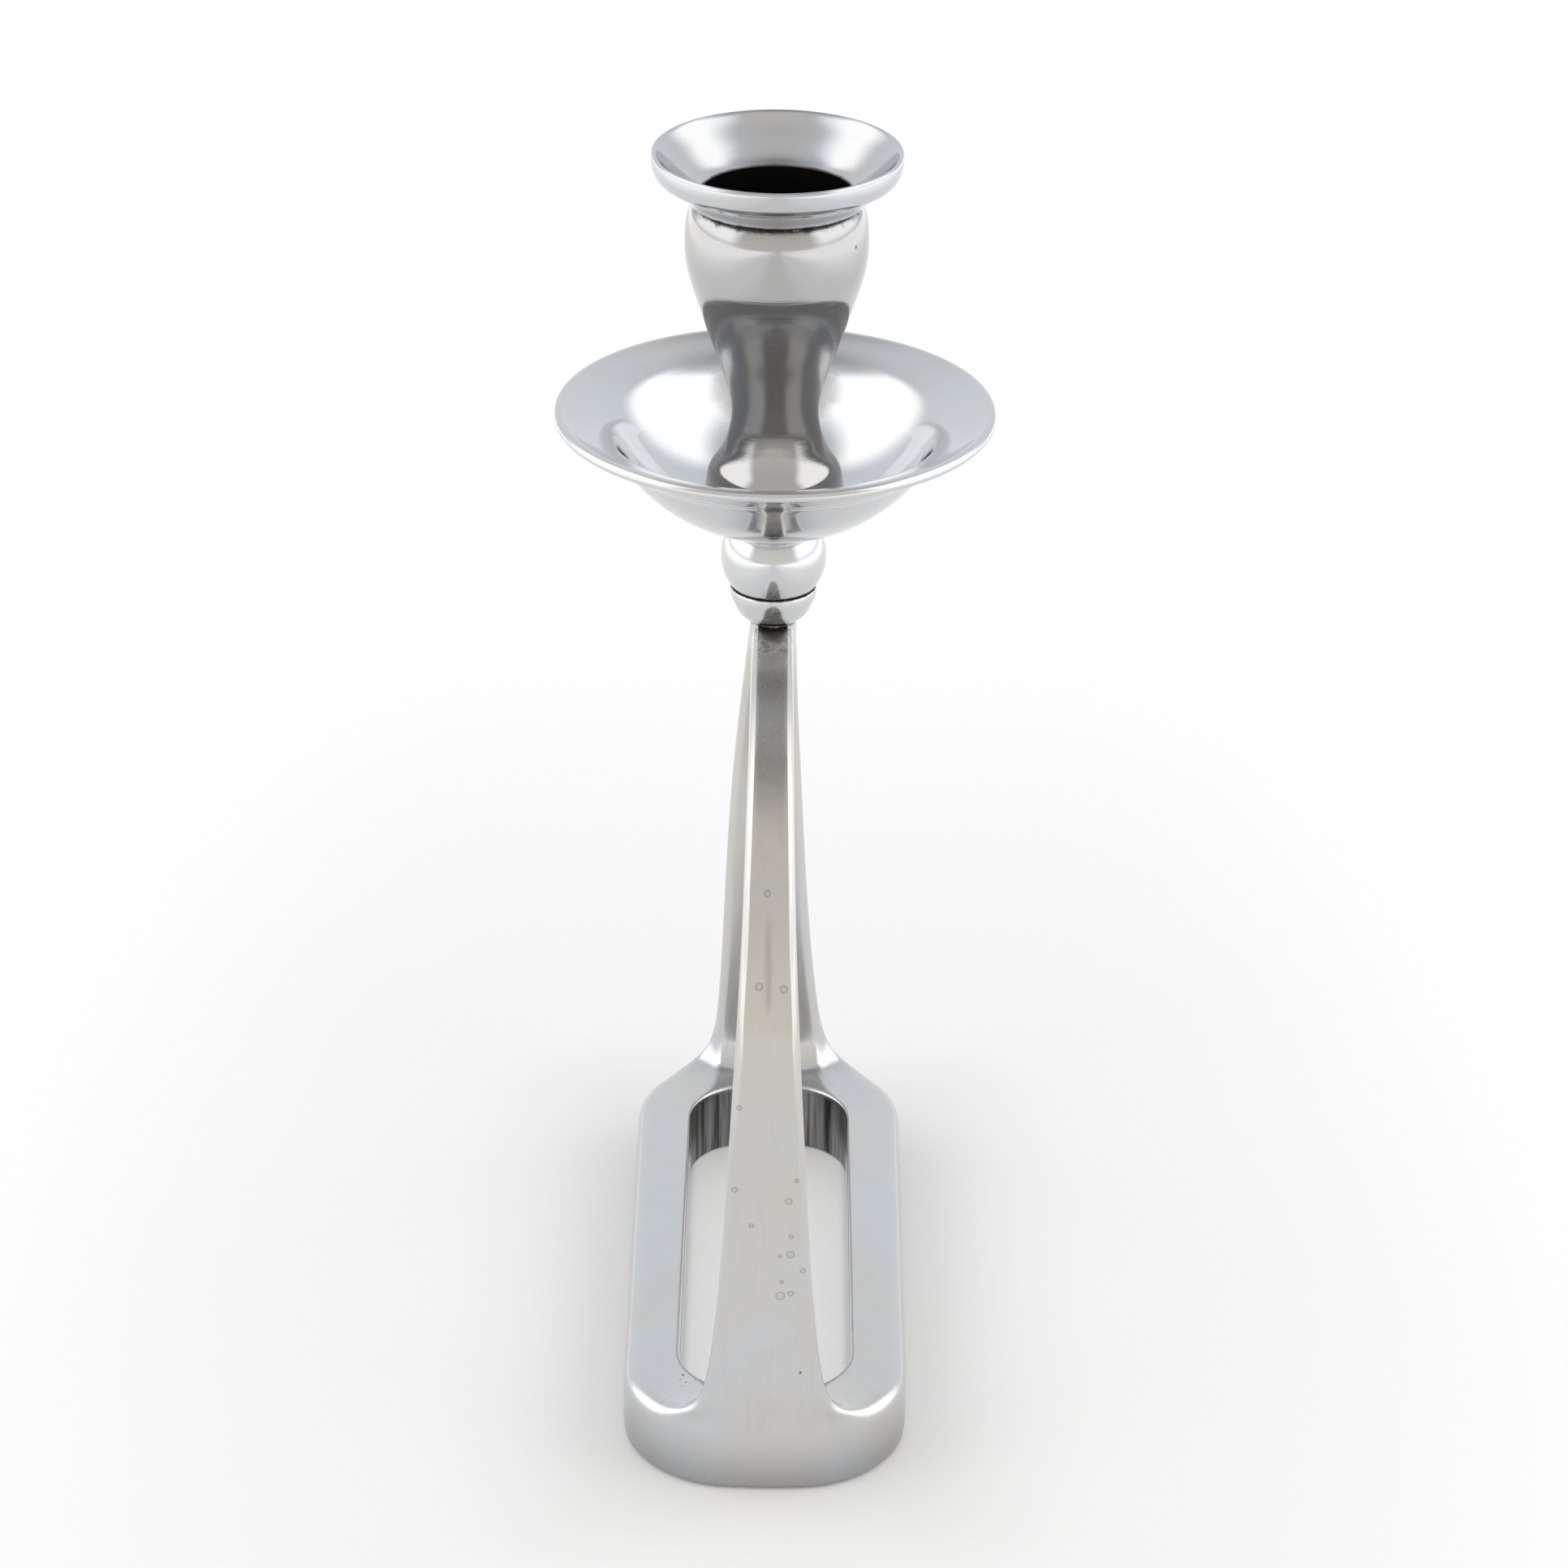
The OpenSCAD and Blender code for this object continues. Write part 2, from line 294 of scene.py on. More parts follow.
def make_drip_pan():
    outer_r = BOWL_R + SHEET
    bead_r = 0.9
    bead = (PAN_R - bead_r, BOWL_Z - 9.8)
    edge_r = 24.4
    edge_z = BOWL_Z - rise(outer_r, edge_r)
    below = arc((0, BOWL_Z), outer_r, under(outer_r, HOLE_R), under(outer_r, edge_r), 60)
    below_flange = spline([
        (edge_r, edge_z), (25.6, edge_z + 1.05), (27.0, edge_z + 1.8),
        (29.8, bead[1] - 1.3), (bead[0] - 0.3, bead[1] - 0.86)], 26)
    rim = arc(bead, bead_r, -100, 110, 22)
    crease_r = 22.5
    flange = spline([
        (bead[0] - 0.32, bead[1] + 0.85), (32.0, bead[1] + 0.5), (29.8, bead[1] - 0.35),
        (27.6, bead[1] - 1.25), (26.2, bead[1] - 2.1), (24.9, bead[1] - 3.35), (23.7, bead[1] - 5.0),
        (crease_r, BOWL_Z - rise(BOWL_R, crease_r))], 44)
    bowl = arc((0, BOWL_Z), BOWL_R, under(BOWL_R, crease_r), under(BOWL_R, HOLE_R), 60)
    end = (HOLE_R, BOWL_Z - rise(BOWL_R, HOLE_R))
    return turned("drip_pan_silver", below + below_flange + rim + flange + bowl + [end], PAN_CORNER)


drip_pan = make_drip_pan()

# %% [markdown]
# ## Ball and collar
#
# The ball is held in a small round collar, and the bowl of the pan rests on its hollowed top.

# %% Ball knop and collar cup
def make_ball():
    top_r = 6.2
    outer_r = BOWL_R + SHEET
    skin = arc((0, BALL_Z), BALL_R, under(BALL_R, HOLE_R), -under(BALL_R, top_r), 60)
    top = arc((0, BOWL_Z), outer_r, under(outer_r, top_r), under(outer_r, HOLE_R), 8)
    end = (HOLE_R, BOWL_Z - rise(outer_r, HOLE_R))
    return turned("ball_knop_silver", skin + top + [end])


def make_collar():
    seat_r = COLLAR_R - 0.5
    seat_z = BALL_Z - rise(BALL_R, seat_r)
    outside = spline([
        (3.6, CROWN_Z), (4.5, CROWN_Z + 0.55), (5.5, CROWN_Z + 1.6), (6.3, CROWN_Z + 3.3),
        (COLLAR_R - 0.06, COLLAR_RIM_Z - 0.45), (COLLAR_R - 0.2, COLLAR_RIM_Z - 0.05),
        (seat_r, seat_z)], 40)
    seat = arc((0, BALL_Z), BALL_R, under(BALL_R, seat_r), under(BALL_R, HOLE_R), 16)
    end = (HOLE_R, BALL_Z - rise(BALL_R, HOLE_R))
    return turned("collar_cup_silver", outside + seat + [end, (HOLE_R, CROWN_Z)])


ball_knop = make_ball()
collar_cup = make_collar()

# %% [markdown]
# ## The stand: foot and legs
#
# The foot and its two legs flow into one another: the flat top of the foot sweeps up into the
# sides of the leg, and their outer faces are one surface. Such a blend is what a subdivision
# surface does best. So one quarter of the stand is laid out as a coarse cage of four-sided faces,
# mirrored twice, and smoothed three times. The cage is then parted into foot, front leg and rear
# leg along its own edges, and each part is closed with a face where it is soldered to the next.
#
# Rows of the cage that lie close together make a tight edge, and rows far apart make a soft curve.

# %% Sizes of the stand
CORNER_R, OPENING_R = 18.0, 10.5
SIDE_BAND, END_BAND = 9.1, 10.6
LEG_T = 4.7
CORNER_X, CORNER_Y = FOOT_WIDTH / 2 - CORNER_R, FOOT_LENGTH / 2 - CORNER_R
OPENING_X = FOOT_WIDTH / 2 - SIDE_BAND - OPENING_R
OPENING_Y = FOOT_LENGTH / 2 - END_BAND - OPENING_R
ARCH_R = FOOT_LENGTH / 2
SPRING_Z = CROWN_Z - ARCH_R
print("the arch springs at", round(SPRING_Z, 2), "and its radius is", round(ARCH_R, 2))

# %% The foot's band: each line along it is measured from its inner or its outer wall
BAND_LINES = {  # (which wall, distance from that wall, height)
    "inner_top": ("in", 0, FOOT_TOP - 0.35), "rim_in": ("in", 0.35, FOOT_TOP),
    "heel": ("in", 2.3, FOOT_TOP), "middle": ("out", 4.6, FOOT_TOP),
    "rim_out": ("out", 1.5, FOOT_TOP), "wall_top": ("out", 0, FOOT_TOP - 1.5),
    "wall_high": ("out", 0, FOOT_TOP - 3.6), "wall_mid": ("out", 0, FOOT_TOP - 7.5),
    "wall_low": ("out", 0, 0.6), "under_out": ("out", 0.5, 0),
    "under_in": ("in", 0.25, 0), "inner_low": ("in", 0, 0.25),
    "inner_mid": ("in", 0, 4.0), "inner_high": ("in", 0, FOOT_TOP - 3.0)}
COVERED_BY_LEG = ("heel", "middle", "rim_out")
TIP_BOW = 0.25
RAIL_STOPS = [0, 10, 20, 29, 35]
CORNER_STOPS = [0, 15, 30, 45, 58, 70, 80.5]
TIP = len(RAIL_STOPS) + CORNER_STOPS.index(45)
LAST = len(RAIL_STOPS) + len(CORNER_STOPS)
FIRST_SWELL, CORNER_SWELL = 1.006, 1.011  # a smoothed cage runs a little inside its own corners
print(len(BAND_LINES), "lines along the band, with", LAST + 1, "stops each in a quarter")


def along_band(stop, wall, distance):
    """Place on the floor of a line of the band at one stop, in the first quarter."""
    if wall == "in":
        centre_x, centre_y, radius = OPENING_X, OPENING_Y, OPENING_R + distance
    else:
        centre_x, centre_y, radius = CORNER_X, CORNER_Y, CORNER_R - distance
    if stop < len(RAIL_STOPS):
        return centre_x + radius, RAIL_STOPS[stop]
    if stop == LAST:
        return 0.0, centre_y + radius + TIP_BOW
    turn = math.radians(CORNER_STOPS[stop - len(RAIL_STOPS)])
    swell = FIRST_SWELL if stop == len(RAIL_STOPS) else CORNER_SWELL
    return centre_x + radius * swell * math.cos(turn), centre_y + radius * swell * math.sin(turn)


# %% The leg: half width, thickness, edge width and edge depth over its height
COLUMNS = [0.0, 0.33, 0.54, 0.78]
INNER_DOME = 0.8
LEG_ROWS = [  # (height, outer half width, inner half width, thickness, edge width, edge depth)
    (12.9, 13.3, 9.8, 7.6, 1.0, 1.0), (14.6, 11.1, 9.4, 6.2, 0.95, 0.95),
    (17.4, 9.7, 9.0, 5.2, 0.9, 0.9), (21.5, 8.65, 8.6, 4.75, 0.85, 0.85),
    (28, 7.85, 7.85, LEG_T, 0.8, 0.8), (36, 7.15, 7.15, LEG_T, 0.8, 0.8),
    (46, 6.5, 6.5, LEG_T, 0.8, 0.8), (56, 6.0, 6.0, LEG_T, 0.85, 0.8),
    (SPRING_Z, 5.55, 5.55, LEG_T, 0.9, 0.85)]
ARCH_STEP = 7.5
ARCH_ROWS = [  # (degrees from the spring line, half width, edge width, edge depth)
    (0, 5.55, 0.9, 0.85), (15, 4.75, 1.0, 0.9), (30, 4.1, 1.15, 1.0), (45, 3.75, 1.3, 1.1),
    (60, 3.45, 1.5, 1.25), (90, 3.25, 1.6, 1.35)]
print(len(LEG_ROWS), "rows up the leg and", round(90 / ARCH_STEP), "over the arch")


def plan_depth(x, radius):
    """How far inside the foot's tip a round line of that radius lies, x away from the middle."""
    side = max(x - CORNER_X, 0)
    return ARCH_R - CORNER_Y - math.sqrt(max(radius**2 - side**2, 0))


def leg_section(half_out, half_in, thick, edge_w, edge_d):
    """(x, depth) round half of a leg's section, from the middle outside to the middle inside."""
    def inner_depth(x):
        return thick - INNER_DOME * (x / half_in)**2

    outside = [(half_out * c, plan_depth(half_out * c, CORNER_R)) for c in COLUMNS]
    outside.append((half_out - edge_w, plan_depth(half_out - edge_w, CORNER_R)))
    side_out = plan_depth(half_out, CORNER_R) + edge_d
    side_in = inner_depth(half_in) - edge_d
    side_middle = ((half_out + half_in) / 2, (side_out + side_in) / 2)
    sides = [(half_out, side_out), side_middle, (half_in, side_in)]
    inside = [(half_in - edge_w, inner_depth(half_in - edge_w))]
    inside += [(half_in * c, inner_depth(half_in * c)) for c in reversed(COLUMNS)]
    return outside + sides + inside


def leg_rings():
    """The rings of points up the leg and over the arch, as (x, y, z) in millimetres."""
    rings = []
    for height, *size in LEG_ROWS:
        rings.append([(x, ARCH_R - depth, height) for x, depth in leg_section(*size)])
    degrees, halves, widths, depths = zip(*ARCH_ROWS)
    radius = ARCH_R * (1 + (1 - math.cos(math.radians(ARCH_STEP))) / 3)
    for step in range(1, round(90 / ARCH_STEP) + 1):
        turn = ARCH_STEP * step
        half, edge_w, edge_d = (np.interp(turn, degrees, row) for row in (halves, widths, depths))
        cos, sin = math.cos(math.radians(turn)), math.sin(math.radians(turn))
        rings.append([(x, (radius - depth) * cos, SPRING_Z + (radius - depth) * sin)
                      for x, depth in leg_section(half, half, LEG_T, edge_w, edge_d)])
    return rings


# %% One quarter of the cage
FOOT_PART, LEG_PART = 0, 1


def stand_quarter():
    mesh = bmesh.new()
    lines = list(BAND_LINES)

    def foot_point(name, stop):
        wall, distance, height = BAND_LINES[name]
        return mesh.verts.new((*along_band(stop, wall, distance), height))

    foot = {(line, stop): foot_point(line, stop) for line in lines for stop in range(LAST + 1)
            if stop <= TIP or line not in COVERED_BY_LEG}

    def face(corners, part):
        mesh.faces.new(corners).material_index = part

    for line, following in zip(lines, lines[1:] + lines[:1]):
        for stop in range(LAST):
            quad = [(line, stop), (line, stop + 1), (following, stop + 1), (following, stop)]
            if all(key in foot for key in quad):
                face([foot[key] for key in quad], FOOT_PART)
    outer_row = [foot["wall_top", stop] for stop in range(LAST, TIP - 1, -1)]
    side_row = [foot[line, TIP] for line in reversed(COVERED_BY_LEG)]
    inner_row = [foot["rim_in", stop] for stop in range(TIP, LAST + 1)]
    below = outer_row + side_row + inner_row
    for ring in leg_rings():
        above = [mesh.verts.new(p) for p in ring]
        for i in range(len(above) - 1):
            face([below[i], below[i + 1], above[i + 1], above[i]], LEG_PART)
        below = above
    mesh.verts.index_update()
    return mesh


# %% The rear leg bows, and the quarter becomes a whole cage
REAR_EXTRA, REAR_LEAN = 0.55, 1.0
BOW_SPAN = 0.83 * (CROWN_Z - FOOT_TOP)
MIRROR_MERGE = 0.01 * MM


def bow_rear_leg(data):
    """The rear leg is a little wider half-way up, and bows to the left: it was forged by hand."""
    for vertex in data.vertices:
        x, y, z = vertex.co / MM
        if y > 0 and z > FOOT_TOP + 0.5:
            middle = max(0, math.sin(math.pi * (z - FOOT_TOP) / BOW_SPAN))
            vertex.co.x += (REAR_EXTRA * middle * x / 6 - REAR_LEAN * middle) * MM


def stand_cage():
    """The whole stand: the quarter, mirrored left to right and front to back."""
    quarter = stand_quarter()
    data = bpy.data.meshes.new("stand")
    quarter.to_mesh(data)
    quarter.free()
    data.transform(Matrix.Scale(MM, 4))
    for part in ("foot", "leg"):
        data.materials.append(bpy.data.materials.new("part_" + part))
    stand = bpy.data.objects.new("stand", data)
    SCENE.collection.objects.link(stand)
    only(stand)
    mirror = stand.modifiers.new("mirror", "MIRROR")
    mirror.use_axis = (True, True, False)
    mirror.merge_threshold = MIRROR_MERGE
    bpy.ops.object.modifier_apply(modifier="mirror")
    bow_rear_leg(data)
    edit_all(stand)
    bpy.ops.mesh.normals_make_consistent(inside=False)
    bpy.ops.object.mode_set(mode="OBJECT")
    return stand


stand = stand_cage()
print("cage of the stand:", len(stand.data.polygons), "faces")

# %% Smooth the cage, then part it into foot and legs
SMOOTH_LEVELS = 3


def smoothed(piece, levels):
    only(piece)
    surface = piece.modifiers.new("surface", "SUBSURF")
    surface.levels = surface.render_levels = levels
    bpy.ops.object.modifier_apply(modifier="surface")
    return piece


def copy_of(piece):
    twin = piece.copy()
    twin.data = piece.data.copy()
    SCENE.collection.objects.link(twin)
    return twin


def part_of_stand(stand, name, keep):
    """A copy of the stand with only the faces that keep accepts, closed where it was cut."""
    piece = copy_of(stand)
    edit_all(piece)
    bpy.ops.mesh.select_mode(type="FACE")
    bpy.ops.mesh.select_all(action="DESELECT")
    bpy.ops.object.mode_set(mode="OBJECT")
    for polygon in piece.data.polygons:
        polygon.select = not keep(polygon.material_index, polygon.center)
    bpy.ops.object.mode_set(mode="EDIT")
    bpy.ops.mesh.delete(type="FACE")
    bpy.ops.mesh.select_all(action="DESELECT")
    bpy.ops.mesh.select_mode(type="VERT")
    bpy.ops.mesh.select_non_manifold(extend=False)
    bpy.ops.mesh.fill(use_beauty=False)
    bpy.ops.object.mode_set(mode="OBJECT")
    piece.data.materials.clear()
    return polished(piece, name)


smoothed(stand, SMOOTH_LEVELS)

# %% Foot, front leg and rear leg
foot_ring = part_of_stand(stand, "foot_ring_silver", lambda part, at: part == FOOT_PART)
front_leg = part_of_stand(stand, "front_leg_silver", lambda part, at: part == LEG_PART and at.y < 0)
rear_leg = part_of_stand(stand, "rear_leg_silver", lambda part, at: part == LEG_PART and at.y > 0)
bpy.data.objects.remove(stand)

# %% [markdown]
# ## Boss, bolt and washer
#
# The boss under the crown takes the thread of the long bolt. The bolt's slotted head sits on its
# washer, deep inside the candle socket.

# %% Crown boss
THREAD_R = 2.0


def make_boss():
    r, top, bottom = 3.6, CROWN_Z, low("crown_boss").z
    outline = [(THREAD_R, bottom + 0.3)] + arc((THREAD_R + 0.3, bottom + 0.3), 0.3, 180, 270, 4)
    outline += arc((r - 0.5, bottom + 0.5), 0.5, 270, 360, 8)
    outline += [(r, bottom + 0.5), (r, top), (THREAD_R, top)]
    return turned("crown_boss_silver", outline)


crown_boss = make_boss()

# %% Bolt and washer
HEAD_HIGH = 2.2
SLOT_WIDE, SLOT_DEEP, SAW_LONG = 0.9, 1.1, 10
BOLT_CORNER = math.radians(25)


def cut_slot(bolt, top):
    """Saws the screwdriver slot into the bolt's head."""
    bpy.ops.mesh.primitive_cube_add(size=1, location=(0, 0, top * MM))
    saw = bpy.context.object
    saw.scale = SAW_LONG * MM, SLOT_WIDE * MM, 2 * SLOT_DEEP * MM
    bpy.ops.object.transform_apply(location=True, rotation=True, scale=True)
    only(bolt)
    slot = bolt.modifiers.new("slot", "BOOLEAN")
    slot.operation, slot.object, slot.solver = "DIFFERENCE", saw, "EXACT"
    bpy.ops.object.modifier_apply(modifier="slot")
    bpy.data.objects.remove(saw)


def make_bolt():
    r, head_r = THREAD_R, 3.6
    tip, top = low("tie_bolt").z, high("tie_bolt").z
    head = top - HEAD_HIGH
    outline = [(0, tip), (r - 0.4, tip), (r, tip + 0.4), (r, head)]
    outline += [(head_r - 0.15, head), (head_r, head + 0.15)]
    outline += arc((head_r - 0.5, top - 0.5), 0.5, 0, 90, 8) + [(head_r - 0.5, top), (0, top)]
    bolt = turned("tie_bolt_steel", outline, BOLT_CORNER)
    cut_slot(bolt, top)
    return polished(bolt, "tie_bolt_steel", BOLT_CORNER)


def make_washer():
    bottom, top, outer_r = low("bolt_washer").z, high("bolt_washer").z, high("bolt_washer").x
    outline = [(HOLE_R, bottom), (outer_r - 0.1, bottom), (outer_r, bottom + 0.1)]
    outline += arc((outer_r - 0.2, top - 0.2), 0.2, 0, 90, 5) + [(outer_r - 0.2, top), (HOLE_R, top)]
    return turned("bolt_washer_steel", outline)


tie_bolt = make_bolt()
bolt_washer = make_washer()

# %% [markdown]
# ## Writing a material as arithmetic
#
# A material is a tree of nodes. `Shader` adds any node, and `Value` wraps one socket, so that the
# maths between nodes reads as ordinary arithmetic.

# %% Node arithmetic
class Value:
    """One output socket of a node, with arithmetic."""

    def __init__(self, shader, socket):
        self.shader, self.socket = shader, socket

    def math(self, operation, *others):
        return self.shader.add("Math", {"operation": operation}, dict(enumerate((self, *others))))

    def __add__(self, other):
        return self.math("ADD", other)

    def __sub__(self, other):
        return self.math("SUBTRACT", other)

    def __rsub__(self, other):
        return self.shader.add("Math", {"operation": "SUBTRACT"}, {0: other, 1: self})

    def __mul__(self, other):
        return self.math("MULTIPLY", other)

    def __pow__(self, other):
        return self.math("POWER", other)

    def __abs__(self):
        return self.math("ABSOLUTE")

    __radd__ = __add__
    __rmul__ = __mul__

    def smooth(self, start, end):
        """0 below start, 1 above end, and a soft step between them. The step falls if end < start."""
        falls = end < start
        span = {"Value": self, "From Min": min(start, end), "From Max": max(start, end),
                "To Min": float(falls), "To Max": float(not falls)}
        return self.shader.add("MapRange", {"interpolation_type": "SMOOTHSTEP"}, span)


class Shader:
    """The node tree of one material or world."""

    def __init__(self, block):
        block.use_nodes = True
        self.tree = block.node_tree

    def add(self, kind, settings=None, sockets=None, output=0):
        node = self.tree.nodes.new("ShaderNode" + kind)
        for name, value in (settings or {}).items():
            setattr(node, name, value)
        for name, value in (sockets or {}).items():
            self.plug(node, name, value)
        return Value(self, node.outputs[output])

    def plug(self, node, name, value):
        if isinstance(value, Value):
            self.tree.links.new(value.socket, node.inputs[name])
        else:
            node.inputs[name].default_value = value

    def mix(self, factor, first, second):
        """first where factor is 0, second where it is 1: both are colours."""
        first, second = (c if isinstance(c, Value) else (*c, 1) for c in (first, second))
        return self.add("Mix", {"data_type": "RGBA"}, {0: factor, 6: first, 7: second}, 2)

    def noise(self, vector, scale, detail=3, roughness=0.5):
        sockets = {"Vector": vector, "Scale": scale, "Detail": detail, "Roughness": roughness}
        return self.add("TexNoise", None, sockets)

    def bump(self, height, strength, distance, under=None, invert=False):
        """A normal that follows height, laid over the bumps under it."""
        sockets = {"Strength": strength, "Distance": distance, "Height": height}
        if under is not None:
            sockets["Normal"] = under
        return self.add("Bump", {"invert": invert}, sockets)

    def vector(self, x, y, z):
        return self.add("CombineXYZ", None, {0: x, 1: y, 2: z})

    def parts(self, vector):
        node = self.add("SeparateXYZ", None, {0: vector}).socket.node
        return [Value(self, socket) for socket in node.outputs]


def highest(values):
    """The largest of several values, place by place."""
    return functools.reduce(lambda top, value: top.math("MAXIMUM", value), values)


# %% [markdown]
# ## The silver
#
# Every piece is silver, polished by hand many times. Its finish has several layers, from large to
# small:
#
# * a faint tarnish in clouds, a little yellow here, a little pink there;
# * a slow waviness, which makes the reflections swim;
# * hairlines left by the polishing cloth: round the turned pieces, along the legs and the foot;
# * smears where the polish dried, which are slightly dull;
# * small pits, mostly beside the seams, and dark solder in the seams themselves.
#
# `tone` darkens the silver of one piece a little: the mouth is duller than the rest, and the cup is darker
# still, a painted reflection of the darker floor in front that it mirrors.

# %% Helpers for the silver
def radial(shader, place):
    x, y, z = shader.parts(place)
    radius = (x * x + y * y) ** 0.5
    return x, y, z, radius


def hairlines(shader, place, turned_piece):
    """0 to 1, high in thin lines that follow the way the cloth went."""
    x, y, z, radius = radial(shader, place)
    if turned_piece:
        along = shader.vector(radius * 5200, z * 5200, x * 60 + y * 60)
    else:
        along = shader.vector(x * 3600, y * 900, z * 90)
    warp = shader.noise(place, 160, 2)
    lines = shader.noise(along, 1.0, 3, 0.62)
    return (lines + warp * 0.12).smooth(0.56, 0.78)


def pits(shader, place, cell, size, share):
    """0 to 1, high in small round pits: share of the cells have one."""
    cells = shader.add("TexVoronoi", {"feature": "F1"}, {"Vector": place, "Scale": 1000 / cell})
    chance = shader.parts(Value(shader, cells.socket.node.outputs["Color"]))[0]
    return cells.smooth(size, size * 0.45) * chance.smooth(1 - share, 1 - share + 0.01)


def seam(shader, place, height, spread, strength):
    """Dark solder in a seam that runs round a turned piece at a height."""
    z = shader.parts(place)[2]
    ragged = shader.noise(place, 620, 4, 0.65) - 0.5
    distance = abs(z - height * MM + ragged * (2.6 * spread * MM))
    return distance.smooth(spread * MM, 0.15 * spread * MM) * strength


# %% Silver
SILVER = (0.60, 0.612, 0.63)
SILVER_YELLOW = (0.615, 0.605, 0.585)
SILVER_PINK = (0.60, 0.575, 0.575)
SILVER_DULL = (0.55, 0.555, 0.56)
SILVER_PAINTED_WARM = (0.595, 0.58, 0.545)
# The dark colour below serves real tarnish, pits and solder, and also painted shade and dark painted
# reflections.
TARNISH_AND_PAINTED_SHADE = (0.045, 0.04, 0.038)


def silver(name, turned_piece=True, seams=(), pitted=0.05, polish=0.06, tone=(1, 1, 1),
           marks_and_shade=None, painted_warmth=None):
    material = bpy.data.materials.new(name)
    shader = Shader(material)
    body = shader.tree.nodes["Principled BSDF"]
    place = shader.add("TexCoord", None, None, "Object")
    clouds = shader.noise(place, 55, 4, 0.55)
    patches = shader.noise(place, 130, 3, 0.6)
    smear = shader.noise(place, 90, 5, 0.7).smooth(0.52, 0.72)
    lines = hairlines(shader, place, turned_piece)
    fine_pits = pits(shader, place, 2.2, 0.055, pitted)
    large_pits = pits(shader, place, 6.0, 0.06, pitted * 1.5)
    holes = fine_pits.math("MAXIMUM", large_pits)
    plain, yellow, pink, dull = ([part * t for part, t in zip(colour, tone)]
                                 for colour in (SILVER, SILVER_YELLOW, SILVER_PINK, SILVER_DULL))
    colour = shader.mix(clouds.smooth(0.42, 0.66), plain, yellow)
    colour = shader.mix(patches.smooth(0.52, 0.75) * 0.7, colour, pink)
    colour = shader.mix(smear * 0.25, colour, dull)
    dark = holes * 0.75
    for height, spread, strength in seams:
        dark = dark.math("MAXIMUM", seam(shader, place, height, spread, strength))
    # The warm tint laid here is a painted reflection of the warm tent.
    if painted_warmth:
        colour = shader.mix(painted_warmth(shader, place), colour, SILVER_PAINTED_WARM)
    # Marks may be real stains and pits, and also painted shade and dark painted reflections.
    if marks_and_shade:
        dark = dark.math("MAXIMUM", marks_and_shade(shader, place))
    colour = shader.mix(dark, colour, TARNISH_AND_PAINTED_SHADE)
    roughness = polish + smear * 0.05 + lines * 0.06 + clouds * 0.05 + dark * 0.3
    waves = shader.noise(place, 42, 2, 0.4)
    dents = shader.noise(place, 260, 3, 0.5)
    wavy = shader.bump(waves, 0.5, 0.16 * MM)
    dented = shader.bump(dents, 0.4, 0.006 * MM, wavy)
    brushed = shader.bump(lines, 0.4, 0.004 * MM, dented)
    pitted_in = shader.bump(holes, 0.8, 0.12 * MM, brushed, invert=True)
    shader.plug(body, "Base Color", colour)
    shader.plug(body, "Roughness", roughness)
    shader.plug(body, "Metallic", 1.0)
    shader.plug(body, "Normal", pitted_in)
    return material


print("a silver of", len((SILVER, SILVER_YELLOW, SILVER_PINK, SILVER_DULL)), "tints, and tarnish")

# %% [markdown]
# ### Marks, and painted shade and reflections
#
# The front leg has a spray of small ring-shaped stains, where drops of water dried, and a faint dark
# streak in the middle; near the crown it is painted darker, painted shade for a dark reflection. Both
# legs grow warmer in colour upwards, a painted reflection of the warm tent. The inner wall of the
# foot is darkened with tarnish and painted shade, deepest at the rear, a dark painted reflection of
# the floor in the opening. The foot is painted darker low down, a painted reflection of the contact
# shadow, and a few pits of solder lie by its front left heel. The inside of the socket, its well and
# the edge of the funnel are darkened.

# %% Stains, tarnish, and painted shade and reflections
RING_STAINS = [  # (x, height, radius) in millimetres, on the face of the front leg
    (-4.8, 54.5, 0.42), (3.4, 52.6, 0.5), (-2.2, 48.2, 0.3), (3.8, 43.1, 0.55), (5.7, 40.2, 0.35),
    (2.3, 35.7, 0.65), (3.9, 36.1, 0.4), (2.5, 38.2, 0.28), (2.2, 42.8, 0.25), (4.6, 56.2, 0.28),
    (3.9, 46.3, 0.3), (-4.2, 68.7, 0.35), (-1.4, 87.2, 0.5), (2.3, 86.9, 0.5), (-0.3, 99.4, 0.4)]
SOLDER_PITS = [  # (x, y, radius) on the top of the foot
    (-12.4, -46.5, 0.22), (-13.3, -45.7, 0.18), (-11.7, -47.4, 0.16), (-13.0, -47.6, 0.15),
    (-12.9, -44.3, 0.3)]
print(len(RING_STAINS), "ring stains and", len(SOLDER_PITS), "solder pits")


def away(first, second):
    """The distance from a point, given how far off it is in two directions."""
    return (first * first + second * second) ** 0.5


def ring_stain(x, z, radius):
    """A dark ring with a faint spot inside it, where a drop dried at x and z of 0."""
    distance = away(x, z)
    ring = abs(distance - radius * MM).smooth(0.2 * MM, 0.03 * MM)
    return ring * 0.34 + distance.smooth(radius * MM, radius * 0.6 * MM) * 0.07


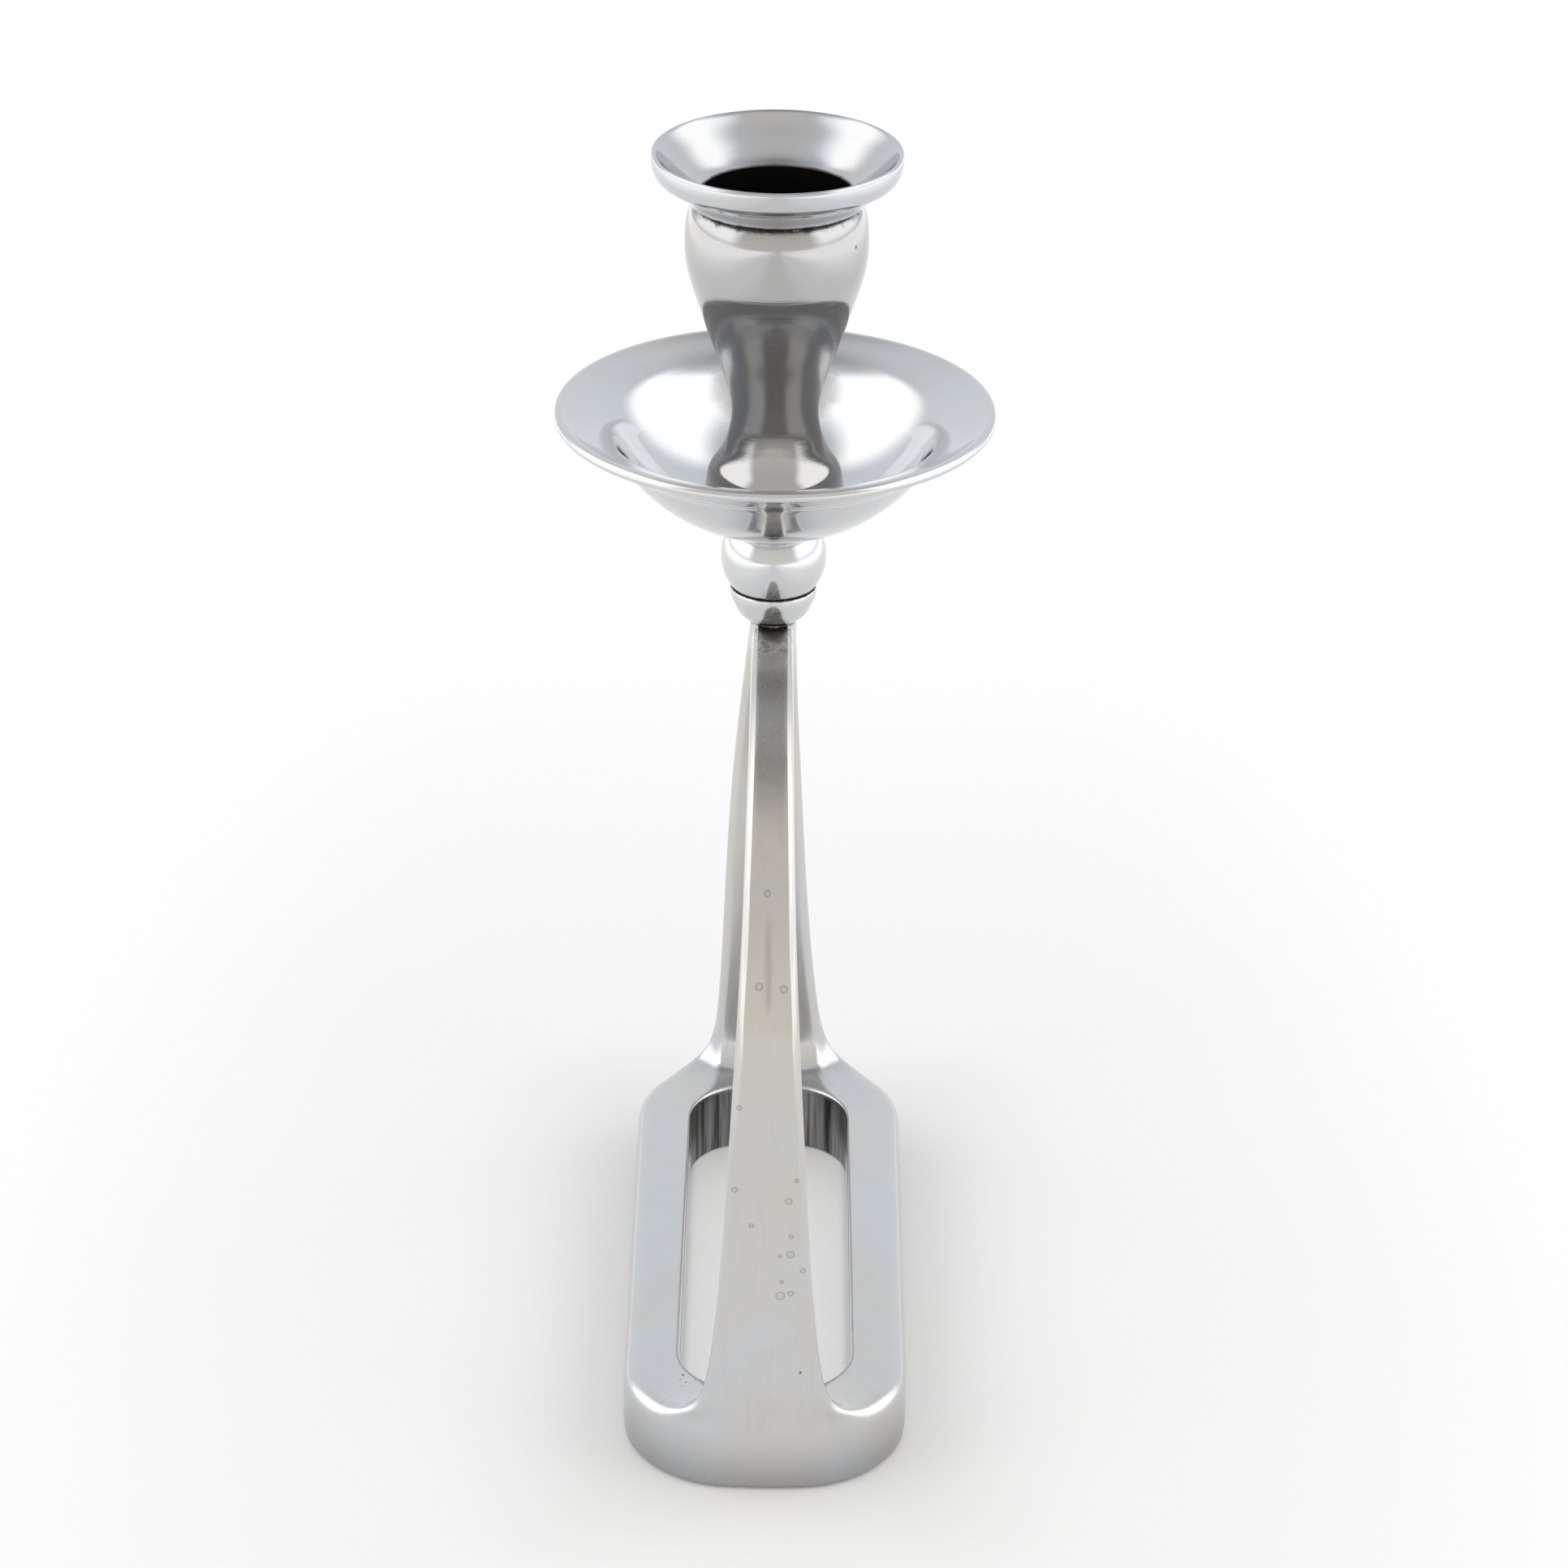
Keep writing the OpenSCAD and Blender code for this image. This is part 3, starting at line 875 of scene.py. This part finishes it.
def leg_marks_and_painted_shade(shader, place):
    """Stains and a streak on the front face, worn patches, and painted shade along the crown: a dark
    reflection painted on.
    """
    x, y, z = shader.parts(place)
    face = y.smooth(-15 * MM, -20 * MM)
    rings = highest(ring_stain(x - at_x * MM, z - at_z * MM, radius) for at_x, at_z, radius in RING_STAINS)
    worn = shader.noise(shader.vector(x * 420, y * 420, z * 60), 1.0, 4, 0.65).smooth(0.5, 0.75)
    streak = shader.noise(shader.vector(x * 900, 0, z * 40), 1.0, 3).smooth(0.35, 0.6)
    streak = streak * abs(x).smooth(1.1 * MM, 0) * abs(z - 90 * MM).smooth(8 * MM, 4 * MM)
    # Painted shade: the crown is painted darker, standing in for the dark reflection of the dim top and
    # the pan's underside.
    crown = z.smooth(103 * MM, 117 * MM) * abs(x).smooth(2.4 * MM, 1.7 * MM)
    return (rings + streak * 0.22) * face + worn * 0.06 + crown * 0.3


def leg_painted_warm_reflection(shader, place):
    """A painted warm reflection that grows up the legs, in soft clouds: it stands in for the warm tent
    they mirror.
    """
    z = shader.parts(place)[2]
    clouds = shader.noise(place, 70, 3, 0.55).smooth(0.3, 0.6)
    return z.smooth(24 * MM, 75 * MM) * (0.6 + clouds * 0.4)


def foot_marks_and_painted_shade(shader, place):
    """Tarnish and painted shade on the inner wall, a dark painted reflection of the floor in the opening;
    painted shade low down, a reflection of the contact shadow; and solder pits by the front left heel.
    """
    x, y, z = shader.parts(place)
    wall_x, wall_y = FOOT_WIDTH / 2 - SIDE_BAND, FOOT_LENGTH / 2 - END_BAND
    inside_x = abs(x).smooth((wall_x + 0.35) * MM, (wall_x - 0.1) * MM)
    inside_y = abs(y).smooth((wall_y + 0.35) * MM, (wall_y - 0.1) * MM)
    wall = inside_x * inside_y * z.smooth((FOOT_TOP + 0.1) * MM, (FOOT_TOP - 1.2) * MM)
    streaks = shader.noise(shader.vector(x * 700, y * 700, z * 30), 1.0, 4, 0.6).smooth(0.35, 0.7)
    rear = y.smooth(20 * MM, 44 * MM)
    # Tarnish and painted shade: the inner wall is painted dark, deepest at the rear, standing in for the
    # dark floor it reflects.
    tarnish_and_painted_shade = wall * (streaks * 0.1 + rear * (streaks * 0.4 + 0.32) + 0.2)
    # Painted shade: the foot is painted darker low down, a painted reflection of the contact shadow.
    painted_low_shade = z.smooth(9.5 * MM, 0.5 * MM) * 0.3
    drops = highest(away(x - at_x * MM, y - at_y * MM).smooth(radius * MM, radius * 0.5 * MM)
                    for at_x, at_y, radius in SOLDER_PITS)
    on_top = z.smooth((FOOT_TOP - 0.5) * MM, (FOOT_TOP - 0.1) * MM)
    return highest((tarnish_and_painted_shade, painted_low_shade, drops * on_top * 0.8))


def cup_marks(shader, place):
    """Darkens the inside of the candle socket and its well."""
    z, radius = radial(shader, place)[2:]
    socket = radius.smooth((SOCKET_R + 0.4) * MM, (SOCKET_R + 0.1) * MM)
    socket = socket * z.smooth((SOCKET_FLOOR_Z - 0.4) * MM, (SOCKET_FLOOR_Z - 0.1) * MM)
    well = radius.smooth((WELL_R + 0.4) * MM, (WELL_R + 0.1) * MM)
    return socket.math("MAXIMUM", well * z.smooth((WELL_FLOOR_Z - 1) * MM, WELL_FLOOR_Z * MM))


def mouth_marks(shader, place):
    """A thin dark edge where the funnel meets the socket."""
    radius = radial(shader, place)[3]
    ragged = shader.noise(place, 300, 3) - 0.5
    edge = radius + ragged * (0.5 * MM)
    return edge.smooth((SOCKET_R + 0.45) * MM, (SOCKET_R + 0.1) * MM) * 0.9


# %% Finishes: each seam is (height, spread, strength)
# The cup's tone is a painted reflection: it darkens the cup for the darker floor in front that it mirrors.
MOUTH_TONE, CUP_TONE_PAINTED_REFLECTION = (0.89, 0.9, 0.92), (0.75, 0.735, 0.725)
BALL_TOP_SEAM_Z = 138.9
silver_mouth = silver("silver_mouth", seams=[(NECK_Z - 1.0, 0.4, 0.8)], tone=MOUTH_TONE,
                      marks_and_shade=mouth_marks)
# The cup's seam under the lip is a dark solder joint, widened into painted shade under the lip.
silver_cup = silver("silver_cup", seams=[(NECK_Z - 1.2, 0.9, 0.85)], tone=CUP_TONE_PAINTED_REFLECTION,
                    marks_and_shade=cup_marks)
silver_pan = silver("silver_pan", pitted=0.07)
silver_ball = silver("silver_ball", pitted=0.14,
                     seams=[(COLLAR_RIM_Z + 0.05, 0.3, 0.7), (BALL_TOP_SEAM_Z, 0.35, 0.6)])
silver_collar = silver("silver_collar", pitted=0.16,
                       seams=[(COLLAR_RIM_Z, 0.22, 0.75), (CROWN_Z + 0.1, 0.6, 0.8)])
silver_foot = silver("silver_foot", turned_piece=False, pitted=0.03, polish=0.13, marks_and_shade=foot_marks_and_painted_shade)
silver_leg = silver("silver_leg", turned_piece=False, seams=[(CROWN_Z, 1.5, 0.6)], pitted=0.06,
                    polish=0.13, marks_and_shade=leg_marks_and_painted_shade, painted_warmth=leg_painted_warm_reflection)

# %% Steel of the bolt and its washer
STEEL, RUST = (0.42, 0.41, 0.40), (0.16, 0.10, 0.07)


def bolt_finish():
    material = bpy.data.materials.new("turned_steel")
    shader = Shader(material)
    body = shader.tree.nodes["Principled BSDF"]
    place = shader.add("TexCoord", None, None, "Object")
    lines = hairlines(shader, place, True)
    rust = shader.noise(place, 500, 4, 0.6).smooth(0.55, 0.75)
    colour = shader.mix(rust * 0.6, STEEL, RUST)
    shader.plug(body, "Base Color", colour)
    shader.plug(body, "Roughness", 0.28 + lines * 0.1 + rust * 0.35)
    shader.plug(body, "Metallic", 1.0)
    shader.plug(body, "Normal", shader.bump(lines + rust, 0.5, 0.01 * MM))
    return material


turned_steel = bolt_finish()
print("finishes:", [m.name for m in bpy.data.materials if m.name.startswith(("silver", "turned"))])

# %% [markdown]
# ## Hanging the pieces on the frame
#
# Each visible piece rides on the one body of the frame, and replaces its CAD node.

# %% Pieces on the frame
PIECES = [
    (mouth_ring, silver_mouth, ["mouth_ring"]), (candle_cup, silver_cup, ["candle_cup", "cup_stem"]),
    (drip_pan, silver_pan, ["drip_pan"]), (ball_knop, silver_ball, ["ball_knop"]),
    (collar_cup, silver_collar, ["collar_cup"]), (foot_ring, silver_foot, ["foot_ring"]),
    (front_leg, silver_leg, ["front_leg"]), (rear_leg, silver_leg, ["rear_leg"]),
    (crown_boss, silver_collar, ["crown_boss"]), (tie_bolt, turned_steel, ["tie_bolt"]),
    (bolt_washer, turned_steel, ["bolt_washer"])]
for piece, finish, nodes in PIECES:
    piece.data.materials.append(finish)
    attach(piece, "root")
    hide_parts(*nodes)
print(len(PIECES), "pieces on the frame")

# %% [markdown]
# ## The studio
#
# The candlestick stands on white paper in a pale tent. The light comes from two large diffusers,
# one at each side. Their light fades towards their edges, so each shows in the silver as a soft
# white patch. The tent is warm on the camera's side and slightly cool behind, and its top, a little
# behind the upright, is dim. The paper glows by itself, and its glow is painted light and shade:
# more towards the diffusers, a painted pool of light, and more behind; less right beside the foot,
# a painted shadow.

# %% Tent and diffusers
WARM_LOW, WARM_HIGH = (0.92, 0.89, 0.84), (0.80, 0.775, 0.735)
COOL_LOW, COOL_HIGH = (0.91, 0.94, 0.975), (0.76, 0.78, 0.80)
DIM_TOP = (0.36, 0.35, 0.34)
DIFFUSER_LIGHT = (1.8, 1.8, 1.8)
DIFFUSER_TURN, DIFFUSER_HALF = 89, 38
DIFFUSER_LOW, DIFFUSER_HIGH = 3, 55
TENT_TOP = Vector((0, math.sin(math.radians(8)), math.cos(math.radians(8))))


def make_tent():
    tent = bpy.data.worlds.new("tent")
    shader = Shader(tent)
    back = shader.tree.nodes["Background"]
    x, y, z = shader.parts(shader.add("TexCoord", None, None, "Generated"))
    to_degrees = 180 / math.pi
    height = z.math("ARCSINE") * to_degrees
    turn = abs(x).math("ARCTAN2", y * -1) * to_degrees
    from_top = (y * TENT_TOP.y + z * TENT_TOP.z).math("ARCCOSINE") * to_degrees
    front = turn.smooth(80, 45)
    warm = shader.mix(height.smooth(5, 45), WARM_LOW, WARM_HIGH)
    cool = shader.mix(height.smooth(25, 65), COOL_LOW, COOL_HIGH)
    colour = shader.mix(front, cool, warm)
    colour = shader.mix(from_top.smooth(34, 2), colour, DIM_TOP)
    across = abs(turn - DIFFUSER_TURN).smooth(DIFFUSER_HALF + 9, DIFFUSER_HALF - 12)
    above = height.smooth(DIFFUSER_LOW - 8, DIFFUSER_LOW + 8)
    below = height.smooth(DIFFUSER_HIGH + 8, DIFFUSER_HIGH - 10)
    colour = shader.mix(across * (above * below), colour, DIFFUSER_LIGHT)
    shader.plug(back, "Color", colour)
    shader.plug(back, "Strength", 1.0)
    SCENE.world = tent


make_tent()
print("diffusers", DIFFUSER_TURN, "degrees to either side of the camera")

# %% Floor
FLOOR_SIZE = 30
# Glow levels of the paper: by the foot, near it and in the opening they are painted shadow; by the
# diffusers a painted pool of light; far off an evenly bright floor.
GLOW_IN_PAINTED_CONTACT_SHADOW, GLOW_IN_PAINTED_SHADOW, GLOW_IN_OPENING_PAINTED_SHADE, GLOW_FAR, GLOW_IN_PAINTED_LIGHT_POOL = 0.10, 0.17, 0.22, 0.32, 0.85


def grey(level):
    return level, level, level


def paper_with_painted_shadow():
    """White paper whose glow paints light and shade: a painted pool of light beside the diffusers, and a
    painted shadow round the foot, darkest right beside it.
    """
    paper = bpy.data.materials.new("white_paper_painted_shadow")
    shader = Shader(paper)
    body = shader.tree.nodes["Principled BSDF"]
    x, y = shader.parts(shader.add("TexCoord", None, None, "Object"))[:2]
    beside_x = (abs(x) - 0.5 * FOOT_WIDTH * MM).math("MAXIMUM", 0)
    beside_y = (abs(y) - 0.5 * FOOT_LENGTH * MM).math("MAXIMUM", 0)
    from_foot = away(beside_x, beside_y)
    fibres = shader.noise(shader.vector(x, y, 0), 900, 3) - 0.5
    white = shader.mix(fibres * 0.04 + 0.5, grey(0.73), grey(0.76))
    # Painted shadow round the foot and in the opening, and a painted pool of light towards the diffusers.
    painted_glow = shader.mix(from_foot.smooth(-0.002, 0.035), grey(GLOW_IN_PAINTED_CONTACT_SHADOW), grey(GLOW_IN_PAINTED_SHADOW))
    painted_opening_shade_mask = abs(x).smooth(0.0136, 0.012) * abs(y).smooth(0.049, 0.046)
    painted_glow = shader.mix(painted_opening_shade_mask, painted_glow, grey(GLOW_IN_OPENING_PAINTED_SHADE))
    painted_glow = shader.mix(abs(x).smooth(0.05, 0.22), painted_glow, grey(GLOW_FAR))
    painted_glow = shader.mix(y.smooth(0.10, 0.45), painted_glow, grey(GLOW_FAR))
    painted_glow = shader.mix(abs(x).smooth(0.26, 0.75), painted_glow, grey(GLOW_IN_PAINTED_LIGHT_POOL))
    shader.plug(body, "Base Color", white)
    shader.plug(body, "Emission Color", painted_glow)
    shader.plug(body, "Emission Strength", 1.0)
    shader.plug(body, "Roughness", 0.9)
    shader.plug(body, "Specular IOR Level", 0.1)
    return paper


def make_floor():
    bpy.ops.object.select_all(action="DESELECT")
    bpy.ops.mesh.primitive_plane_add(size=FLOOR_SIZE, location=(0, 0, 0))
    floor = bpy.context.object
    floor.name = "floor"
    floor.data.materials.append(paper_with_painted_shadow())
    return floor


floor = make_floor()
print(floor.name, FLOOR_SIZE, "m wide")
SCENE.view_settings.view_transform = "Standard"
